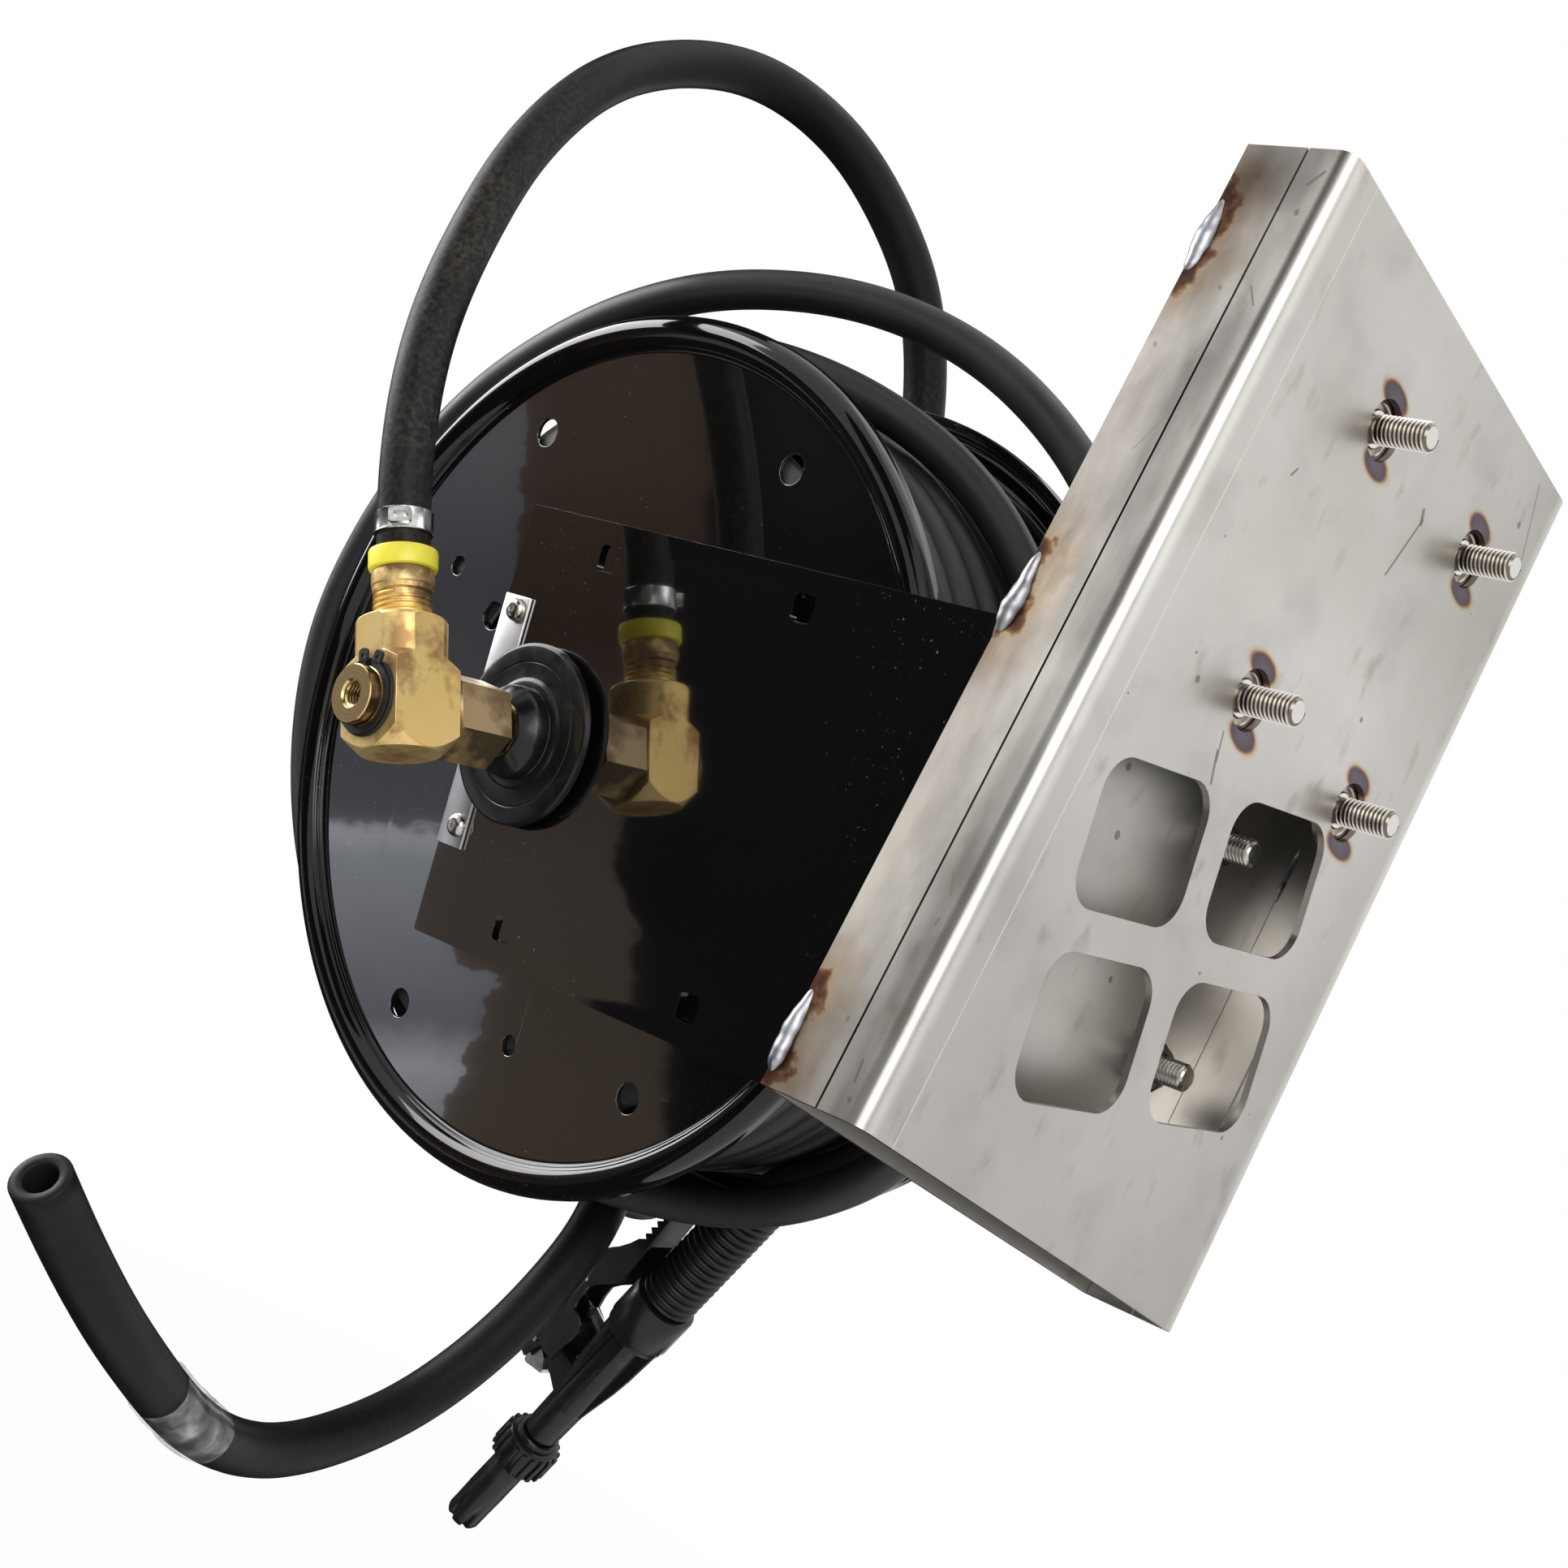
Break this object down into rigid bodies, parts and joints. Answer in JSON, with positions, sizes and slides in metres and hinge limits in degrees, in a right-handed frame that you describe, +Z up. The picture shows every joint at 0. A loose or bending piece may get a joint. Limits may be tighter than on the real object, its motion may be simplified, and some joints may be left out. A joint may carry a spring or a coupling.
{
  "type": "hose reel",
  "caption": "Wall-mounted spring-rewind hose reel on an open stainless box with studs, brass swivel inlet, supply hose and a lever wash gun on the wound hose.",
  "frame": {"origin": "centre of the pattern of four mounting studs, on the box's outer face", "axes": "+Y out of the box into the wall, along the studs; +Z up along the box; +X towards the reel's inlet side"},
  "size_m": [0.4541, 0.5333, 0.7022],
  "materials": {
    "stainless": "grained",
    "stud_steel": "bright",
    "black_paint": "gloss",
    "black_plastic": "satin",
    "black_rubber": "matt",
    "brass": "machined",
    "aluminium": "satin",
    "yellow_plastic": "satin",
    "spring_steel": "blued"
  },
  "bodies": {
    "box_and_frame": {"box_front_channel": "stainless", "box_back_plate": "stainless", "box_side_strip_near": "stainless", "box_side_strip_far": "stainless", "weld_bead_near_1": "stud_steel", "weld_bead_near_2": "stud_steel", "weld_bead_near_3": "stud_steel", "weld_bead_far_1": "stud_steel", "weld_bead_far_2": "stud_steel", "weld_bead_far_3": "stud_steel", "mounting_stud_1": "stud_steel", "mounting_stud_2": "stud_steel", "mounting_stud_3": "stud_steel", "mounting_stud_4": "stud_steel", "base_bolt_1": "stud_steel", "base_bolt_2": "stud_steel", "base_bolt_3": "stud_steel", "base_bolt_4": "stud_steel", "base_nut_1": "stud_steel", "base_nut_2": "stud_steel", "base_nut_3": "stud_steel", "base_nut_4": "stud_steel", "strip_screw_1": "stud_steel", "strip_screw_2": "stud_steel", "spring_arbor": "stud_steel", "arbor_nut": "stud_steel", "pawl_pin": "stud_steel", "trigger_pin": "stud_steel", "near_upright": "black_paint", "far_upright": "black_paint", "hub_bush": "black_plastic", "gun_body": "black_plastic", "slack_hose": "black_rubber", "inlet_hose": "black_rubber", "bend_protector": "black_rubber", "swivel_body": "brass", "barb_fitting": "brass", "retaining_strip": "aluminium", "ear_clamp": "aluminium", "yellow_ring": "yellow_plastic", "pawl_spring": "spring_steel"},
    "spool": {"near_disc": "black_paint", "far_disc": "black_paint", "drum_barrel": "black_paint", "hose_inner_layers": "black_rubber", "wound_hose": "black_rubber", "near_axle": "stud_steel", "far_bush": "black_plastic", "spring_case": "black_paint", "main_spring": "spring_steel", "ratchet_wheel": "stud_steel", "outlet_elbow": "brass", "swivel_shaft": "brass", "seal_washer": "black_plastic", "retaining_ring": "spring_steel"},
    "pawl": {"ratchet_pawl": "stud_steel"},
    "thumb_lever_body": {"thumb_lever": "black_plastic"},
    "valve_stem_body": {"valve_stem": "stud_steel"},
    "spray_nozzle": {"spray_nut": "black_plastic", "nozzle_tip": "black_plastic"}
  },
  "joints": [
    {"name": "spool_spin", "type": "hinge", "parent": "box_and_frame", "child": "spool", "pos_m": [0.01722, -0.28, -0.15222], "axis": [0.9537, 0, -0.3007], "continuous": true},
    {"name": "pawl_pivot", "type": "hinge", "parent": "box_and_frame", "child": "pawl", "pos_m": [-0.03227, -0.304, -0.06112], "axis": [0.9537, 0, -0.3007], "range_deg": [-3, 25], "stiffness_Nm_per_rad": 0.05},
    {"name": "lever_press", "type": "hinge", "parent": "box_and_frame", "child": "thumb_lever_body", "pos_m": [-0.09883, -0.30168, -0.4132], "axis": [0.9537, 0, -0.3007], "range_deg": [-3.5, 0], "stiffness_Nm_per_rad": 3},
    {"name": "valve_slide", "type": "slide", "parent": "box_and_frame", "child": "valve_stem_body", "axis": [0.1576, -0.8517, 0.4997], "range_m": [-0.0025, 0], "stiffness_N_per_m": 200},
    {"name": "nozzle_turn", "type": "hinge", "parent": "box_and_frame", "child": "spray_nozzle", "pos_m": [-0.06942, -0.203, -0.31993], "axis": [-0.2561, -0.524, -0.8123], "range_deg": [-180, 180]}
  ],
  "couplings": [
    {"joint": "valve_slide", "follows": "lever_press", "m_per_rad": 0.031}
  ]
}
